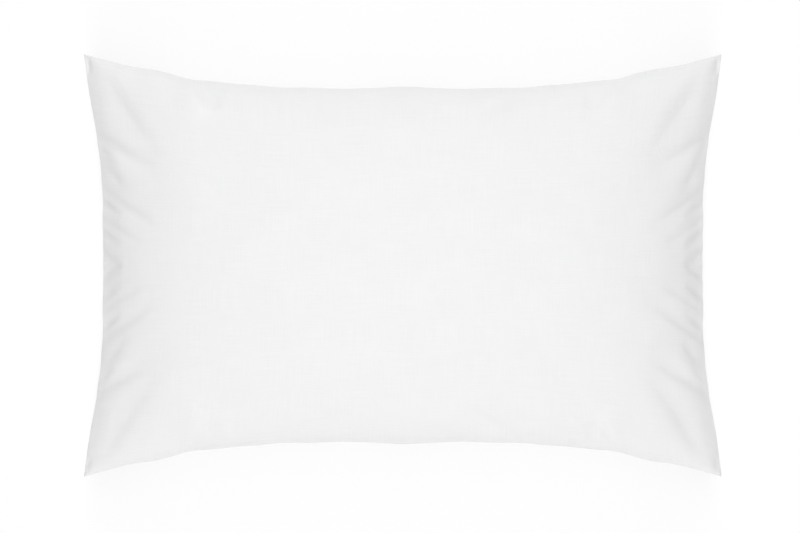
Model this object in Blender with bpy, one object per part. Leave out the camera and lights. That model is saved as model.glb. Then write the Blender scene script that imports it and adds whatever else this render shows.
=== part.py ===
"""A filled pillowcase, lying on its back: a plain white cotton case with a pillow inside it.

The filling draws the cloth tight, so the case is one filled solid. Its front is crowned, its back lies
flat where it touches the ground, and its four sides are drawn in between pointed ears. The two panels
meet in a thin turned-in seam all the way round, and folds run inwards from it where the flat cloth is
too wide for the filling.

Lengths are in metres. X is the length of the case, Y its width and Z is up. The origin is the middle
of the foot, on the ground. A place on the case is given by its shares along and across, from -1 to 1.
"""

import math
from collections import namedtuple

import bmesh
import bpy

# The case laid flat and empty
FLAT_LENGTH = 0.750
FLAT_WIDTH = 0.500

# The filling: how high the crown stands over the seam, and how deep the back hangs under it
CROWN_HEIGHT = 0.092
BACK_DEPTH = 0.092
SEAM_HEIGHT = 0.079
EAR_DROOP = 0.016
EAR_DROOP_POWER = 4.0

# How full the case is towards its ends and its sides: a higher power keeps it full for longer, a lower
# edge power makes it rise more steeply from the seam, and a higher edge start makes the rise there softer
LENGTH_POWER = 3.8
LENGTH_EDGE_POWER = 0.25
LENGTH_EDGE_START = 0.800
WIDTH_POWER = 4.8
WIDTH_EDGE_POWER = 0.25
WIDTH_EDGE_START = 0.020
EAR_EMPTINESS = 0.42

# The back comes down onto the ground over this height, and lies on it wherever it is nearer than the gap
SETTLING = 0.007
LYING_GAP = 0.0003

# The seam: two turned-in edges of cloth, pressed flat
SEAM_THICKNESS = 0.0016

# The mesh: cells along and across, and how strongly they crowd towards the seam
CELLS_ALONG = 64
CELLS_ACROSS = 46
CROWDING_ALONG = 0.66
CROWDING_ACROSS = 0.50

# The back's folds are shallower than the front's, and all are at full depth where the panels are at
# least this far apart
BACK_FOLD_SHARE = 0.6
FULL_FOLD_GAP = 0.014

COTTON_COLOUR = (0.86, 0.86, 0.87, 1.0)
COTTON_ROUGHNESS = 0.85
SHARP_ANGLE = math.radians(50)
TINY = 1e-9

# How far the filling draws the outline in from the flat case, by the share of the way from the middle
# of an end or side to the ear. It is never quite even: the cloth lets go of the filling in steps.
DrawIn = namedtuple("DrawIn", "share inset")
END_DRAW_INS = (
    DrawIn(share=0.00, inset=0.0276),
    DrawIn(share=0.10, inset=0.0273),
    DrawIn(share=0.20, inset=0.0267),
    DrawIn(share=0.31, inset=0.0268),
    DrawIn(share=0.40, inset=0.0256),
    DrawIn(share=0.49, inset=0.0238),
    DrawIn(share=0.58, inset=0.0203),
    DrawIn(share=0.65, inset=0.0181),
    DrawIn(share=0.73, inset=0.0143),
    DrawIn(share=0.81, inset=0.0105),
    DrawIn(share=0.90, inset=0.0068),
    DrawIn(share=1.00, inset=0.0030),
)
SIDE_DRAW_INS = (
    DrawIn(share=0.00, inset=0.0427),
    DrawIn(share=0.08, inset=0.0441),
    DrawIn(share=0.18, inset=0.0454),
    DrawIn(share=0.28, inset=0.0442),
    DrawIn(share=0.38, inset=0.0438),
    DrawIn(share=0.45, inset=0.0411),
    DrawIn(share=0.52, inset=0.0390),
    DrawIn(share=0.60, inset=0.0357),
    DrawIn(share=0.67, inset=0.0334),
    DrawIn(share=0.72, inset=0.0280),
    DrawIn(share=0.78, inset=0.0226),
    DrawIn(share=0.85, inset=0.0185),
    DrawIn(share=0.92, inset=0.0119),
    DrawIn(share=1.00, inset=0.0035),
)

# The folds of one quarter of the case, mirrored to the other three. Each runs from a point at the seam
# to a point nearer the crown, bowed sideways. A negative depth is a ridge. ear_width is how far its slope
# reaches on the side of the ear, and crown_width on the side of the crown. held says how deep the fold
# is at the seam: 1 where the seam pinches it, 0 where it starts from nothing.
Fold = namedtuple("Fold", "seam_x seam_y inner_x inner_y bow ear_width crown_width depth held")
FOLDS = (
    # Down from the ear, the long fold and the one under it that starts at the end's seam
    Fold(0.353, 0.224, 0.275, 0.114, 0.001, 0.0150, 0.0110, 0.0031, 0.0),
    Fold(0.361, 0.153, 0.279, 0.107, 0.002, 0.0100, 0.0075, 0.0032, 0.6),
    # The roll of cloth just inside the end's seam, next to the ear, and the crest under the second fold
    Fold(0.355, 0.239, 0.335, 0.149, 0.000, 0.0080, 0.0100, -0.0012, 0.0),
    Fold(0.355, 0.142, 0.304, 0.091, 0.000, 0.0085, 0.0085, -0.0020, 0.3),
    # The longest pinch of the short end
    Fold(0.354, 0.089, 0.275, 0.038, 0.000, 0.0100, 0.0070, 0.0028, 0.4),
    # Shorter pinches between the long ones and towards the middle of the short end
    Fold(0.359, 0.138, 0.331, 0.112, 0.000, 0.0075, 0.0065, 0.0014, 0.6),
    Fold(0.356, 0.076, 0.323, 0.054, 0.000, 0.0070, 0.0065, 0.0026, 0.6),
    Fold(0.350, 0.053, 0.316, 0.034, 0.000, 0.0070, 0.0065, 0.0020, 0.3),
    Fold(0.358, 0.042, 0.323, 0.021, 0.000, 0.0070, 0.0065, 0.0024, 0.6),
    Fold(0.358, 0.019, 0.322, -0.004, 0.000, 0.0075, 0.0065, 0.0020, 0.5),
    # The crest beside the ear on the long side, and the hollow after it
    Fold(0.246, 0.208, 0.223, 0.164, 0.000, 0.0280, 0.0100, -0.0030, 0.0),
    Fold(0.227, 0.209, 0.206, 0.177, 0.000, 0.0080, 0.0150, 0.0024, 0.0),
    # A soft line near the middle of the long side
    Fold(0.136, 0.201, 0.065, 0.161, 0.000, 0.0130, 0.0070, 0.0022, 0.0),
)

# No two quarters are pulled quite alike: how strong the folds are in each
Quarter = namedtuple("Quarter", "along across strength")
QUARTERS = (
    Quarter(along=1, across=1, strength=1.00),
    Quarter(along=-1, across=1, strength=1.04),
    Quarter(along=-1, across=-1, strength=0.94),
    Quarter(along=1, across=-1, strength=0.98),
)


def clear_scene():
    for item in list(bpy.data.objects):
        bpy.data.objects.remove(item, do_unlink=True)


def limited(value):
    return min(max(value, 0.0), 1.0)


def lean_at(table, row):
    """How steeply the outline's inset changes at one row of its table: not at all in the middle."""
    if row == 0:
        return 0.0
    before = table[row - 1]
    after = table[min(row + 1, len(table) - 1)]
    return (after.inset - before.inset) / (after.share - before.share)


def drawn_in(share, table):
    """The outline's inset at this share, on a smooth curve through the table's rows."""
    place = min(abs(share), 1.0)
    row = min(sum(place >= entry.share for entry in table), len(table) - 1) - 1
    step = table[row + 1].share - table[row].share
    t = (place - table[row].share) / step
    start = table[row].inset * (1 + 2 * t) + lean_at(table, row) * step * t
    end = table[row + 1].inset * (3 - 2 * t) - lean_at(table, row + 1) * step * (1 - t)
    return start * (1 - t) ** 2 + end * t**2


def half_length(across):
    """The outline's reach in X at this share of the width."""
    return FLAT_LENGTH / 2 - drawn_in(across, END_DRAW_INS)


def half_width(along):
    """The outline's reach in Y at this share of the length."""
    return FLAT_WIDTH / 2 - drawn_in(along, SIDE_DRAW_INS)


def fullness(share, power, edge_power, edge_start):
    """1 at the middle of the case and 0 at the seam, where it already rises at a slope."""
    filled = 1 + edge_start - abs(share) ** power
    empty = edge_start**edge_power
    return (filled**edge_power - empty) / ((1 + edge_start) ** edge_power - empty)


def swelling(along, across):
    """How far the filling parts the two panels here: 1 at the crown and 0 at the seam."""
    lengthways = fullness(along, LENGTH_POWER, LENGTH_EDGE_POWER, LENGTH_EDGE_START)
    widthways = fullness(across, WIDTH_POWER, WIDTH_EDGE_POWER, WIDTH_EDGE_START)
    both = lengthways * widthways
    ear = 1 - EAR_EMPTINESS * (along * across) ** 2
    return both / max(lengthways + widthways - both, TINY) * ear


def settled(height):
    """Heights near the ground, brought down onto it: below -SETTLING they are exactly flat."""
    if height <= -SETTLING:
        return 0.0
    if height >= SETTLING:
        return height
    return (height + SETTLING) ** 2 / (4 * SETTLING)


def case_point(along, across, front):
    """A point of the front or back panel, before its folds."""
    x = along * half_length(across)
    y = across * half_width(along)
    seam = SEAM_HEIGHT - EAR_DROOP * abs(along * across) ** EAR_DROOP_POWER
    swell = swelling(along, across)
    if front:
        return (x, y, seam + SEAM_THICKNESS / 2 + CROWN_HEIGHT * swell)
    return (x, y, settled(seam - SEAM_THICKNESS / 2 - BACK_DEPTH * swell))


def depth_of(fold, x, y):
    """How deep one fold is at a point of the plan: a trough that runs out at its inner end."""
    run_x = fold.inner_x - fold.seam_x
    run_y = fold.inner_y - fold.seam_y
    length = math.hypot(run_x, run_y)
    from_seam = ((x - fold.seam_x) * run_x + (y - fold.seam_y) * run_y) / length**2
    if not 0 < from_seam < 1:
        return 0.0
    aside = ((x - fold.seam_x) * run_y - (y - fold.seam_y) * run_x) / length
    aside += fold.bow * 4 * from_seam * (1 - from_seam)
    width = fold.crown_width if aside > 0 else fold.ear_width
    started = fold.held / 2
    along = math.sin(math.pi * (started + (1 - started) * from_seam))
    return fold.depth * along * math.exp(-((aside / width) ** 2))


def fold_depth(x, y):
    """How deep the folds are at a point of the plan, all four quarters together."""
    return sum(
        quarter.strength * depth_of(fold, x * quarter.along, y * quarter.across)
        for quarter in QUARTERS
        for fold in FOLDS
    )


def stations(cells, crowding):
    """Shares from -1 to 1, crowded towards both ends."""
    even = [2 * step / cells - 1 for step in range(cells + 1)]
    return [(1 - crowding) * share + crowding * math.sin(share * math.pi / 2) for share in even]


def add_panel(bm, columns, rows, front):
    """One panel as a grid of faces that look outwards, and its grid of vertices."""
    grid = [[bm.verts.new(case_point(a, b, front)) for b in rows] for a in columns]
    for i in range(len(columns) - 1):
        for j in range(len(rows) - 1):
            corners = [grid[i][j], grid[i + 1][j], grid[i + 1][j + 1], grid[i][j + 1]]
            bm.faces.new(corners if front else corners[::-1])
    return grid


def rim_of(grid):
    """The grid's outer vertices, in order round the case."""
    across_end = [column[-1] for column in grid]
    across_start = [column[0] for column in grid]
    return [*across_start[:-1], *grid[-1][:-1], *across_end[:0:-1], *grid[0][:0:-1]]


def close_seam(bm, front_rim, back_rim):
    """The thin edge of the seam, which joins the front panel to the back one."""
    for step, upper in enumerate(front_rim):
        after = (step + 1) % len(front_rim)
        bm.faces.new([back_rim[step], back_rim[after], front_rim[after], upper])


def press_folds(bm, front, back):
    """Moves each vertex along its own normal by the depth of the folds there, less where the panels are
    too near each other for a fold to go its full depth."""
    bm.normal_update()
    moves = []
    for front_column, back_column in zip(front[1:-1], back[1:-1]):
        for upper, lower in zip(front_column[1:-1], back_column[1:-1]):
            room = limited((upper.co.z - lower.co.z) / FULL_FOLD_GAP)
            depth = room * fold_depth(upper.co.x, upper.co.y)
            moves.append((upper, upper.normal * -depth))
            if lower.co.z > 0:
                moves.append((lower, lower.normal * (-depth * BACK_FOLD_SHARE)))
    for vertex, move in moves:
        vertex.co += move
        vertex.co.z = max(vertex.co.z, 0.0)


def flatten_foot(bm):
    """Lays the lowest part of the back on the ground, as one flat face."""
    for vertex in bm.verts:
        if vertex.co.z < LYING_GAP:
            vertex.co.z = 0.0
    foot = [face for face in bm.faces if all(vertex.co.z == 0.0 for vertex in face.verts)]
    bmesh.ops.dissolve_faces(bm, faces=foot)


def cotton():
    material = bpy.data.materials.new("white cotton")
    material.use_nodes = True
    surface = material.node_tree.nodes["Principled BSDF"]
    surface.inputs["Base Color"].default_value = COTTON_COLOUR
    surface.inputs["Roughness"].default_value = COTTON_ROUGHNESS
    surface.inputs["Metallic"].default_value = 0.0
    return material


def make_pillowcase():
    columns = stations(CELLS_ALONG, CROWDING_ALONG)
    rows = stations(CELLS_ACROSS, CROWDING_ACROSS)
    bm = bmesh.new()
    front = add_panel(bm, columns, rows, front=True)
    back = add_panel(bm, columns, rows, front=False)
    close_seam(bm, rim_of(front), rim_of(back))
    press_folds(bm, front, back)
    flatten_foot(bm)
    mesh = bpy.data.meshes.new("pillowcase")
    bm.to_mesh(mesh)
    bm.free()
    mesh.shade_smooth()
    mesh.set_sharp_from_angle(angle=SHARP_ANGLE)
    mesh.materials.append(cotton())
    case = bpy.data.objects.new("pillowcase", mesh)
    bpy.context.scene.collection.objects.link(case)


clear_scene()
make_pillowcase()
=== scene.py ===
"""The looks of a filled pillowcase: its cotton cloth, the seam round it, the mouth and the hem.

The case is made as a sewer makes it. Two flat panels are laid out as one grid of cloth, sewn together
round their edges and filled, which gives them the solid's own form. Blender's cloth then lets the
panels take back the size they were cut to, so that the spare cloth beside the seams gathers by itself.
The folds, the mouth at one end and the hem with its stitches are worked on the settled cloth.

Lengths are in metres. A place on the case is given by its shares along and across, from -1 to 1.
"""

import math
from collections import namedtuple

import bpy
import numpy as np
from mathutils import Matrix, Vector


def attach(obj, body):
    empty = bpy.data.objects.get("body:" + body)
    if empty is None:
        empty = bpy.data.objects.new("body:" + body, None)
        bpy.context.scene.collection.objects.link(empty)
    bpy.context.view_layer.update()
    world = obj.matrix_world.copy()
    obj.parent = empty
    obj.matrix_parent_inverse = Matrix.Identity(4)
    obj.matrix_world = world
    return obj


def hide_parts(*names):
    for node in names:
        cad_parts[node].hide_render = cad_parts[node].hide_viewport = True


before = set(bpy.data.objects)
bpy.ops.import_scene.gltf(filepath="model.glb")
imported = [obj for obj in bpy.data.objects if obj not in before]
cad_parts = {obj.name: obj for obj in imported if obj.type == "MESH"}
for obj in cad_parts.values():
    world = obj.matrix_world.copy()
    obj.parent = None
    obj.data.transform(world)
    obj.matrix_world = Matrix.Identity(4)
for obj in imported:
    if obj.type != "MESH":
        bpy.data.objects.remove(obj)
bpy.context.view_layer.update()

# The case laid flat and empty
FLAT_LENGTH = 0.750
FLAT_WIDTH = 0.500

# How far the filling draws its outline in from that, by the share of the way from the middle of an end
# or side to the ear. It is never quite even: the cloth lets go of the filling in steps.
DrawIn = namedtuple("DrawIn", "share inset")
END_DRAW_INS = (
    DrawIn(share=0.00, inset=0.0276),
    DrawIn(share=0.10, inset=0.0273),
    DrawIn(share=0.20, inset=0.0267),
    DrawIn(share=0.31, inset=0.0268),
    DrawIn(share=0.40, inset=0.0256),
    DrawIn(share=0.49, inset=0.0238),
    DrawIn(share=0.58, inset=0.0203),
    DrawIn(share=0.65, inset=0.0181),
    DrawIn(share=0.73, inset=0.0143),
    DrawIn(share=0.81, inset=0.0105),
    DrawIn(share=0.90, inset=0.0068),
    DrawIn(share=1.00, inset=0.0030),
)
SIDE_DRAW_INS = (
    DrawIn(share=0.00, inset=0.0427),
    DrawIn(share=0.08, inset=0.0441),
    DrawIn(share=0.18, inset=0.0454),
    DrawIn(share=0.28, inset=0.0442),
    DrawIn(share=0.38, inset=0.0438),
    DrawIn(share=0.45, inset=0.0414),
    DrawIn(share=0.52, inset=0.0394),
    DrawIn(share=0.60, inset=0.0361),
    DrawIn(share=0.67, inset=0.0336),
    DrawIn(share=0.72, inset=0.0280),
    DrawIn(share=0.78, inset=0.0225),
    DrawIn(share=0.85, inset=0.0185),
    DrawIn(share=0.92, inset=0.0119),
    DrawIn(share=1.00, inset=0.0035),
)

# The filling: how high the crown stands over the seam, and how deep the back hangs under it
CROWN_HEIGHT = 0.092
BACK_DEPTH = 0.092
SEAM_HEIGHT = 0.079
EAR_DROOP = 0.016
EAR_DROOP_POWER = 4.0
LENGTH_POWER = 3.8
LENGTH_EDGE_POWER = 0.25
LENGTH_EDGE_START = 0.800
WIDTH_POWER = 4.8
WIDTH_EDGE_POWER = 0.25
WIDTH_EDGE_START = 0.020
EAR_EMPTINESS = 0.42
SETTLING = 0.007

# The seam: two turned-in edges of cloth, pressed flat. Rows of cloth cross it at these shares of its
# width from the outer edge, and its edge is rounded over the first part of it.
END_LIP_WIDTH = 0.0050
SIDE_LIP_WIDTH = 0.0038
LIP_THICKNESS = 0.0014
LIP_ROWS = (0.05, 0.22, 0.60)
LIP_ROUND = 0.12
END_LIP_SHARE = END_LIP_WIDTH / (FLAT_LENGTH / 2)
SIDE_LIP_SHARE = SIDE_LIP_WIDTH / (FLAT_WIDTH / 2)

# The grid of cloth between the lips
CELLS_ALONG = 116
CELLS_ACROSS = 90
CROWDING_ALONG = 0.42
CROWDING_ACROSS = 0.15

# The folds of one quarter of the case, mirrored to the other three. Each runs from a point at the seam
# to a point nearer the crown, bowed sideways. A negative depth is a ridge. ear_width is how far its slope
# reaches on the side of the ear, and crown_width on the side of the crown. held says how deep the fold
# is at the seam: 1 where the seam pinches it, 0 where it starts from nothing.
Fold = namedtuple("Fold", "seam_x seam_y inner_x inner_y bow ear_width crown_width depth held")
FOLDS = (
    # Down from the ear, the long fold and the one under it that starts at the end's seam
    Fold(0.353, 0.224, 0.275, 0.114, 0.0010, 0.0170, 0.0110, 0.0033, 0.0),
    Fold(0.361, 0.153, 0.279, 0.107, 0.0020, 0.0100, 0.0070, 0.0034, 0.6),
    # The roll of cloth just inside the end's seam, and the dimple in the ear's tip
    Fold(0.355, 0.239, 0.335, 0.149, 0.0000, 0.0080, 0.0100, -0.0011, 0.0),
    Fold(0.368, 0.243, 0.365, 0.221, 0.0000, 0.0035, 0.0035, 0.0022, 0.0),
    # The crest under the second fold, and a soft ridge on the crown side of the ear
    Fold(0.352, 0.142, 0.301, 0.089, 0.0000, 0.0090, 0.0090, -0.0018, 0.2),
    Fold(0.335, 0.228, 0.310, 0.194, 0.0000, 0.0090, 0.0080, -0.0008, 0.0),
    # The longest pinch of the short end, and the shorter ones
    Fold(0.354, 0.089, 0.275, 0.038, 0.0000, 0.0100, 0.0060, 0.0029, 0.3),
    Fold(0.355, 0.137, 0.331, 0.115, 0.0000, 0.0080, 0.0045, 0.0018, 0.3),
    Fold(0.342, 0.112, 0.322, 0.090, 0.0000, 0.0060, 0.0040, 0.0014, 0.0),
    Fold(0.338, 0.102, 0.319, 0.082, 0.0000, 0.0080, 0.0070, 0.0007, 0.0),
    Fold(0.354, 0.075, 0.323, 0.054, 0.0000, 0.0080, 0.0040, 0.0035, 0.5),
    Fold(0.350, 0.053, 0.318, 0.035, 0.0000, 0.0070, 0.0050, 0.0022, 0.3),
    Fold(0.355, 0.041, 0.323, 0.021, 0.0000, 0.0080, 0.0040, 0.0032, 0.5),
    Fold(0.326, 0.038, 0.297, 0.024, 0.0000, 0.0070, 0.0040, 0.0018, 0.0),
    Fold(0.355, 0.018, 0.322, -0.004, 0.0000, 0.0070, 0.0050, 0.0028, 0.4),
    # The crest beside the ear on the long side, and the hollow after it
    Fold(0.251, 0.208, 0.225, 0.164, 0.0000, 0.0160, 0.0090, -0.0044, 0.0),
    Fold(0.232, 0.209, 0.209, 0.177, 0.0000, 0.0080, 0.0120, 0.0042, 0.0),
    Fold(0.201, 0.195, 0.186, 0.177, 0.0000, 0.0050, 0.0060, 0.0018, 0.0),
    # A soft line near the middle of the long side
    Fold(0.136, 0.201, 0.065, 0.161, 0.0000, 0.0110, 0.0060, 0.0034, 0.0),
)

# No two quarters are pulled quite alike: how strong the folds are in each
Quarter = namedtuple("Quarter", "along across strength")
QUARTERS = (
    Quarter(along=1, across=1, strength=1.00),
    Quarter(along=-1, across=1, strength=1.04),
    Quarter(along=-1, across=-1, strength=0.94),
    Quarter(along=1, across=-1, strength=0.98),
)
BACK_FOLD_SHARE = 0.6
FULL_FOLD_GAP = 0.014
UP = np.array([0.0, 0.0, 1.0])

# How the cloth settles to its cut size
FRAMES = 14
PRESSURE = 3.0
MOST_MOVE = 0.010
EVENING_PASSES = 8

# The filling's unevenness under the front panel
FILLING_SEED = 11
FILLING_WAVES = 14
FILLING_WAVELENGTHS = (0.055, 0.150)
FILLING_SWELL = 0.00018

# Tiny gathers beside the seam: each line of them has its spacing, its lean from straight in, and its share
SEAM_SEED = 5
PUCKER_HEIGHT = 0.00045
PUCKER_REACH = 0.016
PUCKER_START = 0.003
PUCKER_LINES = ((0.0055, 0.3, 0.45), (0.0110, -0.4, 0.8), (0.0230, 0.6, 0.9))

# The mouth is at the end at +X, between the ears. Its edges stand apart, and the lines of cloth from the
# seam's outermost point inwards move in by the first length and apart by the second, in tenths of a
# millimetre.
MOUTH_SHARE = 0.90
MOUTH_TAPER = 0.12
MOUTH_UNIT = 0.0001
MOUTH_LINES = ((36, 0.0), (18, 2.2), (-3, 3.4), (-2, 2.8), (-1, 2.2), (0, 1.0))

# The hem at the mouth: cloth turned in on the back panel, which stands a little proud of it over these
# lines of cloth from the mouth, held by a line of stitches just inside its edge. Each stitch is a short
# round thread whose ends dip into the cloth, and its rings say how far along, how thick and how high.
HEM_LINES = 24
HEM_STITCH_LINE = 22
HEM_THICKNESS = 0.0004
STITCH_STEP = 0.0034
STITCH_LENGTH = 0.0026
STITCH_RADIUS = 0.00030
STITCH_SIDES = 6
STITCHED_SHARE = 0.93
THREAD_TWIST = 0.0006
StitchRing = namedtuple("StitchRing", "along thickness rise")
STITCH_RINGS = (
    StitchRing(along=0.00, thickness=0.4, rise=-0.8),
    StitchRing(along=0.12, thickness=0.9, rise=0.4),
    StitchRing(along=0.35, thickness=1.0, rise=0.8),
    StitchRing(along=0.65, thickness=1.0, rise=0.8),
    StitchRing(along=0.88, thickness=0.9, rise=0.4),
    StitchRing(along=1.00, thickness=0.4, rise=-0.8),
)

# The map of the cut cloth, in which its weave, its mottle and the painted shade in the seam's crease are
# placed: the back panel fills its lower half and the front panel its upper half. These are the sizes of a
# map as wide and as high as 1.
CLOTH_MAP = "OFBake"
MAP_MARGIN = 0.006
MAP_LENGTH = FLAT_LENGTH / (1 - 2 * MAP_MARGIN)
MAP_WIDTH = 2 * FLAT_WIDTH / (1 - 4 * MAP_MARGIN)

# The weave: two threads to a repeat, and slubs in the threads that are this wide and long
WEAVE_REPEAT = 0.00066
SLUB_WIDTH = 0.0011
SLUB_LENGTH = 0.050
MOTTLE_SIZE = 0.060

# The crease under the seam, where its lip folds away from the back panel: a fine line of painted shade,
# cloth darkened to grey where the crease's shadow falls
CREASE_SHADE_WIDTH = 0.0012

# The colours of the cloth and its thread, and the grey of the painted shade in the seam's crease
COTTON_DULLER = (0.842, 0.843, 0.846, 1)
COTTON_BRIGHTER = (0.888, 0.888, 0.887, 1)
COTTON_CREASE_SHADE = (0.56, 0.56, 0.565, 1)
THREAD_DULLER = (0.83, 0.83, 0.83, 1)
THREAD_BRIGHTER = (0.90, 0.90, 0.895, 1)
WEAVE_RELIEF = 0.00006

# The view: straight down on the case, a little off its middle
VIEW_SCALE = 0.001167
PICTURE_WIDTH = 800
CAMERA_LENS = 100
CAMERA_OFFSET = (-0.0033, -0.0014)
SENSOR_WIDTH = 36

# The light: an arc of soft strips across the case, and a dim light from all round
ARC_RADIUS = 5.0
ARC_STRIP_WIDTH = 1.6
ArcLight = namedtuple("ArcLight", "name turn length radiance")
ARC_LIGHTS = (
    ArcLight("overhead strip", turn=0, length=6.1, radiance=4.53),
    ArcLight("near strip", turn=-58, length=5.0, radiance=3.6),
    ArcLight("far strip", turn=58, length=5.0, radiance=3.6),
)
WORLD_LIGHT = 0.27
BACKGROUND_WHITE = 0.81
FLOOR_REACH = 30
FLOOR_GAP = 0.0005
FLOOR_WHITE = (0.25, 0.25, 0.25)
FLOOR_GLOW = 0.722


def limited(value):
    return np.clip(value, 0.0, 1.0)


def drawn_in(share, table):
    """The outline's inset at this share, on a smooth curve through the table's rows."""
    shares = np.array([row.share for row in table])
    insets = np.array([row.inset for row in table])
    slopes = np.zeros(len(table))
    slopes[1:-1] = (insets[2:] - insets[:-2]) / (shares[2:] - shares[:-2])
    slopes[-1] = (insets[-1] - insets[-2]) / (shares[-1] - shares[-2])
    place = np.minimum(np.abs(share), 1.0)
    row = np.clip(np.searchsorted(shares, place, side="right") - 1, 0, len(shares) - 2)
    step = shares[row + 1] - shares[row]
    t = (place - shares[row]) / step
    start = insets[row] * (1 + 2 * t) + slopes[row] * step * t
    end = insets[row + 1] * (3 - 2 * t) - slopes[row + 1] * step * (1 - t)
    return start * (1 - t) ** 2 + end * t**2


def half_length(across):
    """The outline's reach in X at this share of the width."""
    return FLAT_LENGTH / 2 - drawn_in(across, END_DRAW_INS)


def half_width(along):
    """The outline's reach in Y at this share of the length."""
    return FLAT_WIDTH / 2 - drawn_in(along, SIDE_DRAW_INS)


def fullness(share, power, edge_power, edge_start):
    """1 at the middle of the case and 0 at the seam, where it already rises at a slope."""
    filled = 1 + edge_start - np.abs(share) ** power
    empty = edge_start**edge_power
    return (filled**edge_power - empty) / ((1 + edge_start) ** edge_power - empty)


def swelling(along, across):
    """How far the filling parts the two panels here: 1 at the crown and 0 at the seam."""
    lengthways = fullness(along, LENGTH_POWER, LENGTH_EDGE_POWER, LENGTH_EDGE_START)
    widthways = fullness(across, WIDTH_POWER, WIDTH_EDGE_POWER, WIDTH_EDGE_START)
    both = lengthways * widthways
    ear = 1 - EAR_EMPTINESS * (along * across) ** 2
    return both / np.maximum(lengthways + widthways - both, 1e-9) * ear


def settled(height):
    """Heights near the ground, brought down onto it."""
    near = (limited((height + SETTLING) / (2 * SETTLING)) * 2 * SETTLING) ** 2 / (4 * SETTLING)
    return np.where(height >= SETTLING, height, near)


def lip_half(along, across):
    """Half the seam's thickness: nothing at its outer edge, which is round, and full further in."""
    from_end = (1 - np.abs(along)) / END_LIP_SHARE
    from_side = (1 - np.abs(across)) / SIDE_LIP_SHARE
    inside = limited(np.minimum(from_end, from_side) / LIP_ROUND)
    return LIP_THICKNESS / 2 * np.sqrt(1 - (1 - inside) ** 2)


def filled_panels(along, across):
    """The front and back panels in their filled form, as two grids of points."""
    x = along * half_length(across)
    y = across * half_width(along)
    seam = SEAM_HEIGHT - EAR_DROOP * np.abs(along * across) ** EAR_DROOP_POWER
    swell = swelling(along, across)
    lip = lip_half(along, across)
    front = np.stack([x, y, seam + lip + CROWN_HEIGHT * swell], axis=-1)
    back = np.stack([x, y, settled(seam - lip - BACK_DEPTH * swell)], axis=-1)
    return front, back


def cut_panels(along, across):
    """The same two grids laid flat, as they were cut."""
    x = along * FLAT_LENGTH / 2
    y = across * FLAT_WIDTH / 2
    flat = np.stack([x, y, np.zeros_like(x)], axis=-1)
    return flat, flat


def depth_of(fold, x, y):
    """How deep one fold is at points of the plan: a trough that runs out at its inner end."""
    run_x = fold.inner_x - fold.seam_x
    run_y = fold.inner_y - fold.seam_y
    length = math.hypot(run_x, run_y)
    from_seam = ((x - fold.seam_x) * run_x + (y - fold.seam_y) * run_y) / length**2
    aside = ((x - fold.seam_x) * run_y - (y - fold.seam_y) * run_x) / length
    aside = aside + fold.bow * 4 * from_seam * (1 - from_seam)
    width = np.where(aside > 0, fold.crown_width, fold.ear_width)
    started = fold.held / 2
    along = np.sin(math.pi * (started + (1 - started) * limited(from_seam)))
    inside = (from_seam > 0) & (from_seam < 1)
    return np.where(inside, fold.depth * along * np.exp(-((aside / width) ** 2)), 0.0)


def fold_depth(x, y):
    """How deep the folds are at points of the plan, all four quarters together."""
    return sum(
        quarter.strength * depth_of(fold, x * quarter.along, y * quarter.across)
        for quarter in QUARTERS
        for fold in FOLDS
    )


def grid_normals(grid):
    """The upward normal at each point of a grid."""
    normals = np.cross(np.gradient(grid, axis=0), np.gradient(grid, axis=1))
    return normals / np.maximum(np.linalg.norm(normals, axis=-1, keepdims=True), 1e-12)


def fold_panels(front, back):
    """Presses the folds into both panels along their normals. At the seam, where the panels meet, a fold
    carries both of them down with it."""
    room = limited((front[..., 2] - back[..., 2]) / FULL_FOLD_GAP)[..., None]
    depth = fold_depth(front[..., 0], front[..., 1])[..., None]
    off_ground = back[..., 2:] > 0
    sunk = ((1 - room) * UP + room * grid_normals(front)) * depth
    front = front - sunk
    back = back - (1 - room) * sunk + grid_normals(back) * depth * room * BACK_FOLD_SHARE * off_ground
    back[..., 2] = np.maximum(back[..., 2], 0)
    return front, back


def stations(cells, crowding, lip_share):
    """Shares from -1 to 1: the lip's rows at each end, and the rest crowded towards them."""
    even = np.linspace(-1, 1, cells + 1)
    inner = ((1 - crowding) * even + crowding * np.sin(even * math.pi / 2)) * (1 - lip_share)
    lip = 1 - lip_share * np.array([0.0, *LIP_ROWS])
    return np.concatenate([-lip, inner, lip[::-1]])


class Panels:
    """The numbering of the case's points: all of the front's grid, then the back's without its rim,
    which it shares with the front."""

    def __init__(self, shape):
        self.front = np.arange(shape[0] * shape[1]).reshape(shape)
        self.back = self.front.copy()
        inner = (shape[0] - 2) * (shape[1] - 2)
        self.back[1:-1, 1:-1] = self.front.size + np.arange(inner).reshape(shape[0] - 2, -1)
        self.count = self.front.size + inner

    def points(self, front, back):
        """One list of points from two grids of them."""
        points = np.empty((self.count, front.shape[-1]))
        points[self.back] = back
        points[self.front] = front
        return points

    def faces(self):
        upper, lower = self.front, self.back
        top = np.stack([upper[:-1, :-1], upper[1:, :-1], upper[1:, 1:], upper[:-1, 1:]], axis=-1)
        under = np.stack([lower[:-1, 1:], lower[1:, 1:], lower[1:, :-1], lower[:-1, :-1]], axis=-1)
        return np.concatenate([top.reshape(-1, 4), under.reshape(-1, 4)]).tolist()


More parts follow.
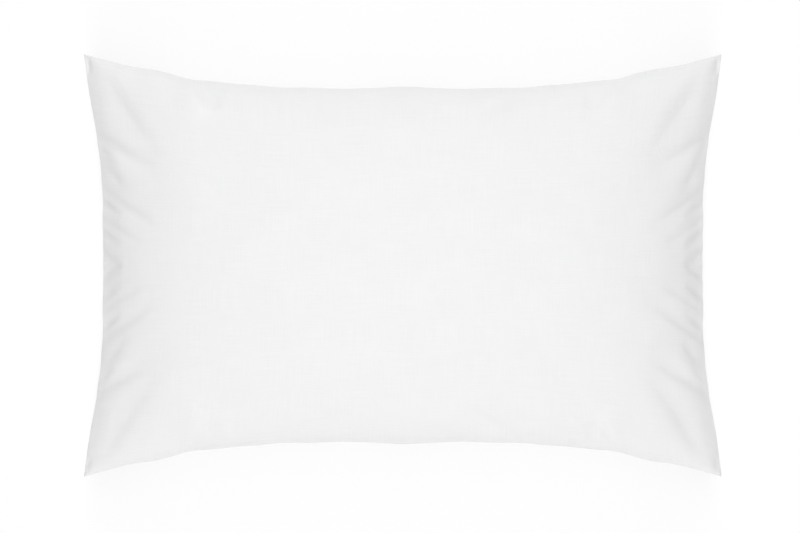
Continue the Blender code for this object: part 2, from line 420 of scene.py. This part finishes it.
def settle(case, cut, held):
    """Lets the sewn cloth take back its cut size under the filling's pressure, with the held points
    fixed, and gives the points where it comes to rest."""
    start = np.array([vertex.co for vertex in case.data.vertices])
    case.shape_key_add(name="filled")
    key = case.shape_key_add(name="cut")
    key.data.foreach_set("co", cut.ravel())
    group = case.vertex_groups.new(name="held")
    group.add(held, 1.0, "REPLACE")
    cloth = case.modifiers.new("cloth", "CLOTH")
    cotton = cloth.settings
    cotton.quality = 8
    cotton.mass = 0.3
    cotton.tension_stiffness = 40
    cotton.compression_stiffness = 40
    cotton.shear_stiffness = 5
    cotton.bending_stiffness = 0.05
    cotton.bending_damping = 0.5
    cotton.use_pressure = True
    cotton.uniform_pressure_force = PRESSURE
    cotton.effector_weights.gravity = 0
    cotton.rest_shape_key = key
    cotton.vertex_group_mass = group.name
    cloth.collision_settings.use_collision = False
    cloth.point_cache.frame_start = 1
    cloth.point_cache.frame_end = FRAMES
    scene = bpy.context.scene
    for step in range(1, FRAMES + 1):
        scene.frame_set(step)
    gathered = case.evaluated_get(bpy.context.evaluated_depsgraph_get())
    move = np.array([vertex.co for vertex in gathered.data.vertices]) - start
    scene.frame_set(1)
    far = np.linalg.norm(move, axis=1, keepdims=True)
    return start + move * np.minimum(1, MOST_MOVE / np.maximum(far, 1e-9))


def halved(grid, axis):
    """The grid with a new line of points midway between each two, on smooth curves through them."""
    grid = np.moveaxis(grid, axis, 0)
    middle = (grid[:-1] + grid[1:]) / 2
    middle[1:-1] = (9 * (grid[1:-2] + grid[2:-1]) - grid[:-3] - grid[3:]) / 16
    finer = np.empty((2 * len(grid) - 1, *grid.shape[1:]))
    finer[0::2] = grid
    finer[1::2] = middle
    return np.moveaxis(finer, 0, axis)


def subdivided(grid):
    return halved(halved(grid, 0), 1)


def add_mesh(name, points, faces):
    mesh = bpy.data.meshes.new(name)
    mesh.from_pydata(points.tolist(), [], faces)
    piece = bpy.data.objects.new(name, mesh)
    bpy.context.scene.collection.objects.link(piece)
    return piece


def evened(grid, passes):
    """The grid with each inner point brought towards its neighbours' mean, this many times over."""
    for _ in range(passes):
        grid = grid.copy()
        grid[1:-1] = (grid[:-2] + 2 * grid[1:-1] + grid[2:]) / 4
        grid[:, 1:-1] = (grid[:, :-2] + 2 * grid[:, 1:-1] + grid[:, 2:]) / 4
    return grid


def settled_panels(columns, rows):
    """The two panels after the cloth has gathered, as coarse grids of points. The moves it makes are
    evened out, so that none is as short as a cell of the grid."""
    along, across = np.meshgrid(columns, rows, indexing="ij")
    panels = Panels(along.shape)
    front, back = filled_panels(along, across)
    points = panels.points(front, back)
    case = add_mesh("gathering", points, panels.faces())
    lip = (np.abs(along) > 1 - END_LIP_SHARE * 1.01) | (np.abs(across) > 1 - SIDE_LIP_SHARE * 1.01)
    held = set(panels.front[lip].tolist()) | set(panels.back[lip].tolist())
    held |= set(np.flatnonzero(points[:, 2] <= 0).tolist())
    points = settle(case, panels.points(*cut_panels(along, across)), sorted(held))
    mesh = case.data
    bpy.data.objects.remove(case)
    bpy.data.meshes.remove(mesh)
    front += evened(points[panels.front] - front, EVENING_PASSES)
    back += evened(points[panels.back] - back, EVENING_PASSES)
    return front, back


def unevenness(x, y):
    """The filling is never quite even: long, low swells under the cloth."""
    chance = np.random.default_rng(FILLING_SEED)
    swell = np.zeros_like(x)
    for _ in range(FILLING_WAVES):
        wavelength = chance.uniform(*FILLING_WAVELENGTHS)
        heading = chance.uniform(0, math.tau)
        start = chance.uniform(0, math.tau)
        swell += np.sin(math.tau * (x * math.cos(heading) + y * math.sin(heading)) / wavelength + start)
    return swell * FILLING_SWELL / math.sqrt(FILLING_WAVES)


def uneven_line(place, spacing, chance):
    """A smooth line of random heights, from -1 to 1, with a new height at every spacing."""
    count = int(np.ptp(place) / spacing) + 3
    heights = chance.uniform(-1, 1, count)
    knot = (place - place.min()) / spacing
    before = knot.astype(int)
    t = knot - before
    t = t * t * (3 - 2 * t)
    return heights[before] * (1 - t) + heights[before + 1] * t


def seam_pucker(along, across, x, y):
    """The stitches draw the seam up a little, so that the cloth beside it stands in tiny gathers."""
    chance = np.random.default_rng(SEAM_SEED)
    pucker = np.zeros_like(x)
    for side in (1, -1):
        for edge, place, half in ((along, y, FLAT_LENGTH / 2), (across, x, FLAT_WIDTH / 2)):
            inside = (1 - side * edge) * half
            gathers = sum(
                share * uneven_line(place + inside * lean, spacing, chance)
                for spacing, lean, share in PUCKER_LINES
            )
            near = np.exp(-((inside / PUCKER_REACH) ** 2)) * limited(inside / PUCKER_START)
            pucker += PUCKER_HEIGHT * near * gathers
    return pucker


def turn_hem(back):
    """Raises the back's last lines of cloth before the mouth's folded edge, where the hem doubles them."""
    raised = limited(np.arange(HEM_LINES) / 2) * limited(np.arange(HEM_LINES)[::-1] / (HEM_LINES / 2))
    back[-HEM_LINES:] += grid_normals(back)[-HEM_LINES:] * raised[:, None, None] * HEM_THICKNESS


def open_mouth(front, back, across):
    """Parts the two folded edges at the mouth's end: the seam's outermost point sinks in between them."""
    parted = limited((MOUTH_SHARE - np.abs(across[-1])) / MOUTH_TAPER)
    parted = parted * parted * (3 - 2 * parted)
    for line, (inward, apart) in enumerate(MOUTH_LINES, start=1):
        front[-line, :, 0] -= parted * inward * MOUTH_UNIT
        front[-line, :, 2] += parted * apart * MOUTH_UNIT
        back[-line, :, 0] -= parted * inward * MOUTH_UNIT
        back[-line, :, 2] -= parted * apart * MOUTH_UNIT


def make_case():
    """The case's cloth, and the stitching of its hem."""
    columns = stations(CELLS_ALONG, CROWDING_ALONG, END_LIP_SHARE)
    rows = stations(CELLS_ACROSS, CROWDING_ACROSS, SIDE_LIP_SHARE)
    front, back = (subdivided(grid) for grid in settled_panels(columns, rows))
    along, across = np.meshgrid(halved(columns, 0), halved(rows, 0), indexing="ij")
    front, back = fold_panels(front, back)
    x, y = front[..., 0], front[..., 1]
    room = limited((front[..., 2] - back[..., 2]) / FULL_FOLD_GAP)
    rise = room * unevenness(x, y) + limited(room * 4) * seam_pucker(along, across, x, y)
    front = front + grid_normals(front) * rise[..., None]
    turn_hem(back)
    open_mouth(front, back, across)
    panels = Panels(along.shape)
    case = add_mesh("pillowcase_cloth", panels.points(front, back), panels.faces())
    case.data.shade_smooth()
    lay_out_cloth(case.data, panels, along, across)
    stitched = np.abs(across[-HEM_STITCH_LINE]) < STITCHED_SHARE
    line = back[-HEM_STITCH_LINE, stitched]
    return case, add_stitching(line, grid_normals(back)[-HEM_STITCH_LINE, stitched])


def add_stitching(line, normals):
    """Stitches end to end along this line of points on the cloth."""
    lengths = np.linalg.norm(np.diff(line, axis=0), axis=1)
    walked = np.concatenate([[0], np.cumsum(lengths)])

    def at(place, values):
        return np.array([np.interp(place, walked, values[:, axis]) for axis in range(3)])

    points = []
    faces = []
    around = np.arange(STITCH_SIDES) * math.tau / STITCH_SIDES
    for start in np.arange(0, walked[-1] - STITCH_LENGTH, STITCH_STEP):
        heading = at(start + STITCH_LENGTH, line) - at(start, line)
        outward = at(start + STITCH_LENGTH / 2, normals)
        sideways = np.cross(heading, outward)
        sideways /= np.linalg.norm(sideways)
        first = len(points)
        for ring in STITCH_RINGS:
            middle = at(start + ring.along * STITCH_LENGTH, line) + outward * ring.rise * STITCH_RADIUS
            for angle in around:
                spoke = math.cos(angle) * sideways + math.sin(angle) * outward
                points.append(middle + spoke * ring.thickness * STITCH_RADIUS)
        rings = first + np.arange(len(STITCH_RINGS) * STITCH_SIDES).reshape(-1, STITCH_SIDES)
        faces += [rings[0].tolist(), rings[-1, ::-1].tolist()]
        for lower, upper in zip(rings[:-1], rings[1:]):
            after = np.roll(lower, -1), np.roll(upper, -1)
            faces += np.stack([lower, upper, after[1], after[0]], axis=-1).tolist()
    stitching = add_mesh("hem_stitching", np.array(points), faces)
    stitching.data.shade_smooth()
    return stitching


def lay_out_cloth(mesh, panels, along, across):
    """A map of the cut cloth: the front panel in the upper half and the back panel in the lower."""
    u = (1 + along) / 2 * (1 - 2 * MAP_MARGIN) + MAP_MARGIN
    v = (1 + across) / 4 * (1 - 4 * MAP_MARGIN) + MAP_MARGIN
    upper = np.zeros((panels.count, 2))
    lower = np.zeros((panels.count, 2))
    upper[panels.front] = np.stack([u, v + 0.5], axis=-1)
    lower[panels.back] = np.stack([u, v], axis=-1)
    corners = np.empty(len(mesh.loops), dtype=int)
    mesh.loops.foreach_get("vertex_index", corners)
    half = len(corners) // 2
    places = np.concatenate([upper[corners[:half]], lower[corners[half:]]])
    layer = mesh.uv_layers.new(name=CLOTH_MAP)
    layer.uv.foreach_set("vector", places.ravel())


class Shade:
    """A value, colour or vector that a material's nodes make, worked with in Python expressions."""

    def __init__(self, tree, socket=None):
        self.tree = tree
        self.socket = socket

    def node(self, kind, settings, sockets, output=0):
        """Adds a node with these settings and socket values or links, and gives one of its outputs."""
        node = self.tree.nodes.new(kind)
        for name, setting in settings.items():
            setattr(node, name, setting)
        for name, value in sockets.items():
            if isinstance(value, Shade):
                self.tree.links.new(value.socket, node.inputs[name])
            else:
                node.inputs[name].default_value = value
        return Shade(self.tree, node.outputs[output])

    def math(self, operation, first, second=0.0):
        return self.node("ShaderNodeMath", {"operation": operation}, {0: first, 1: second})

    def __add__(self, other):
        return self.math("ADD", self, other)

    def __radd__(self, other):
        return self.math("ADD", other, self)

    def __sub__(self, other):
        return self.math("SUBTRACT", self, other)

    def __rsub__(self, other):
        return self.math("SUBTRACT", other, self)

    def __mul__(self, other):
        return self.math("MULTIPLY", self, other)

    def __rmul__(self, other):
        return self.math("MULTIPLY", other, self)

    def scaled(self, factors):
        """This vector with each of its parts multiplied."""
        return self.node("ShaderNodeVectorMath", {"operation": "MULTIPLY"}, {0: self, 1: factors}, "Vector")

    def part(self, name):
        """One part of this vector: X, Y or Z."""
        return self.node("ShaderNodeSeparateXYZ", {}, {0: self}, name)

    def noise(self, size, detail):
        """Even random values from 0 to 1 at this place, in patches of this size in metres."""
        sockets = {"Vector": self.scaled([1 / length for length in size]), "Scale": 1.0, "Detail": detail}
        return self.node("ShaderNodeTexNoise", {}, sockets, "Fac")

    def mixed(self, first, second):
        """A colour between two, by this value from 0 to 1."""
        sockets = {0: self, 6: first, 7: second}
        return self.node("ShaderNodeMix", {"data_type": "RGBA"}, sockets, 2)


def seam_crease_shade(cotton, cloth):
    """Where shade is painted: 1 in the crease between the back panel and the seam's lip, at the sewn sides,
    and 0 elsewhere.
    """
    from_end = cloth.part("X") - MAP_MARGIN * MAP_LENGTH
    from_side = cloth.part("Y") - MAP_MARGIN * MAP_WIDTH
    inside = FLAT_WIDTH / 2 - cotton.math("ABSOLUTE", from_side - FLAT_WIDTH / 2)
    place = cotton.math("MINIMUM", from_end - END_LIP_WIDTH, inside - SIDE_LIP_WIDTH)
    return cotton.math("MAXIMUM", 1 - cotton.math("ABSOLUTE", place) * (1 / CREASE_SHADE_WIDTH))


def white_cotton():
    """Plain-woven cotton: its threads, the slubs in them, a little unevenness of its white, and painted
    shade in the crease under the seam.
    """
    material = bpy.data.materials.new("white cotton")
    material.use_nodes = True
    surface = material.node_tree.nodes["Principled BSDF"]
    cotton = Shade(material.node_tree)
    laid_out = cotton.node("ShaderNodeUVMap", {"uv_map": CLOTH_MAP}, {}, "UV")
    cloth = laid_out.scaled((MAP_LENGTH, MAP_WIDTH, 0))
    turn = math.tau / WEAVE_REPEAT
    threads = cotton.math("SINE", cloth.part("X") * turn) * cotton.math("SINE", cloth.part("Y") * turn)
    warp_slubs = cloth.noise((SLUB_WIDTH, SLUB_LENGTH, 1), 1.0)
    weft_slubs = cloth.noise((SLUB_LENGTH, SLUB_WIDTH, 1), 1.0)
    slubs = warp_slubs + weft_slubs - 1
    mottle = cloth.noise((MOTTLE_SIZE, MOTTLE_SIZE, 1), 3.0)
    white = (mottle * 0.6 + slubs * 0.9 + 0.2).mixed(COTTON_DULLER, COTTON_BRIGHTER)
    bump = cotton.node(
        "ShaderNodeBump",
        {},
        {"Strength": 1.0, "Distance": WEAVE_RELIEF, "Height": threads * 0.5 + slubs * 2.2},
        "Normal",
    )
    links = material.node_tree.links
    # Painted shade: the cloth's white is darkened to grey in the crease under the seam.
    tone = seam_crease_shade(cotton, cloth).mixed(white, COTTON_CREASE_SHADE)
    links.new(tone.socket, surface.inputs["Base Color"])
    links.new((mottle * 0.08 + 0.81).socket, surface.inputs["Roughness"])
    links.new(bump.socket, surface.inputs["Normal"])
    surface.inputs["Specular IOR Level"].default_value = 0.25
    surface.inputs["Sheen Weight"].default_value = 0.06
    surface.inputs["Sheen Roughness"].default_value = 0.5
    return material


def white_thread():
    """Twisted cotton thread, a little glossier than the cloth."""
    material = bpy.data.materials.new("white thread")
    material.use_nodes = True
    surface = material.node_tree.nodes["Principled BSDF"]
    thread = Shade(material.node_tree)
    place = thread.node("ShaderNodeTexCoord", {}, {}, "Object")
    slanted = place.part("X") + place.part("Y") + place.part("Z")
    twist = thread.math("SINE", slanted * (math.tau / THREAD_TWIST))
    uneven = place.noise((STITCH_STEP, STITCH_STEP, STITCH_STEP), 1.0)
    tone = (uneven * 0.6 + twist * 0.2 + 0.2).mixed(THREAD_DULLER, THREAD_BRIGHTER)
    material.node_tree.links.new(tone.socket, surface.inputs["Base Color"])
    surface.inputs["Roughness"].default_value = 0.6
    surface.inputs["Specular IOR Level"].default_value = 0.35
    return material


def add_area_light(name, place, target, size, power):
    light = bpy.data.lights.new(name, "AREA")
    light.shape = "RECTANGLE"
    light.size, light.size_y = size
    light.energy = power
    lamp = bpy.data.objects.new(name, light)
    lamp.location = place
    lamp.rotation_euler = (Vector(target) - Vector(place)).to_track_quat("-Z", "Y").to_euler()
    bpy.context.scene.collection.objects.link(lamp)


def add_world_light():
    """A dim, even light from all round. The camera itself sees the surroundings nearly white."""
    world = bpy.data.worlds.new("surroundings")
    world.use_nodes = True
    nodes = world.node_tree.nodes
    links = world.node_tree.links
    path = nodes.new("ShaderNodeLightPath")
    seen = nodes.new("ShaderNodeMapRange")
    seen.inputs["To Min"].default_value = WORLD_LIGHT
    seen.inputs["To Max"].default_value = BACKGROUND_WHITE
    links.new(path.outputs["Is Camera Ray"], seen.inputs["Value"])
    background = nodes["Background"]
    background.inputs["Color"].default_value = (1, 1, 1, 1)
    links.new(seen.outputs["Result"], background.inputs["Strength"])
    bpy.context.scene.world = world


def add_floor():
    """A pale floor that gives off part of its white, so that the case's shadow on it stays faint."""
    mesh = bpy.data.meshes.new("floor")
    r = FLOOR_REACH
    mesh.from_pydata([(-r, -r, 0), (r, -r, 0), (r, r, 0), (-r, r, 0)], [], [(0, 1, 2, 3)])
    floor = bpy.data.objects.new("floor", mesh)
    floor.location.z = -FLOOR_GAP
    material = bpy.data.materials.new("pale floor")
    material.use_nodes = True
    surface = material.node_tree.nodes["Principled BSDF"]
    surface.inputs["Base Color"].default_value = (*FLOOR_WHITE, 1)
    surface.inputs["Roughness"].default_value = 0.9
    surface.inputs["Emission Color"].default_value = (1, 1, 1, 1)
    surface.inputs["Emission Strength"].default_value = FLOOR_GLOW
    mesh.materials.append(material)
    bpy.context.scene.collection.objects.link(floor)


def set_the_studio():
    """Strips of soft light in an arc over the case, from one long side to the other, so that the long
    sides are as bright as the crown and the short ends turn away from the light."""
    bpy.context.scene.view_settings.view_transform = "Standard"
    add_world_light()
    for arc in ARC_LIGHTS:
        angle = math.radians(arc.turn)
        place = (0, ARC_RADIUS * math.sin(angle), ARC_RADIUS * math.cos(angle))
        power = arc.radiance * math.pi * ARC_STRIP_WIDTH * arc.length
        add_area_light(arc.name, place, (0, 0, 0), (ARC_STRIP_WIDTH, arc.length), power)
    add_floor()


def set_the_camera():
    camera = bpy.data.cameras.new("camera")
    camera.lens = CAMERA_LENS
    camera.sensor_width = SENSOR_WIDTH
    height = VIEW_SCALE * PICTURE_WIDTH * CAMERA_LENS / SENSOR_WIDTH
    eye = bpy.data.objects.new("camera", camera)
    eye.location = (*CAMERA_OFFSET, SEAM_HEIGHT - EAR_DROOP + height)
    bpy.context.scene.collection.objects.link(eye)
    bpy.context.scene.camera = eye


set_the_camera()
set_the_studio()
case, stitching = make_case()
case.data.materials.append(white_cotton())
stitching.data.materials.append(white_thread())
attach(case, "root")
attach(stitching, "root")
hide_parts("pillowcase")
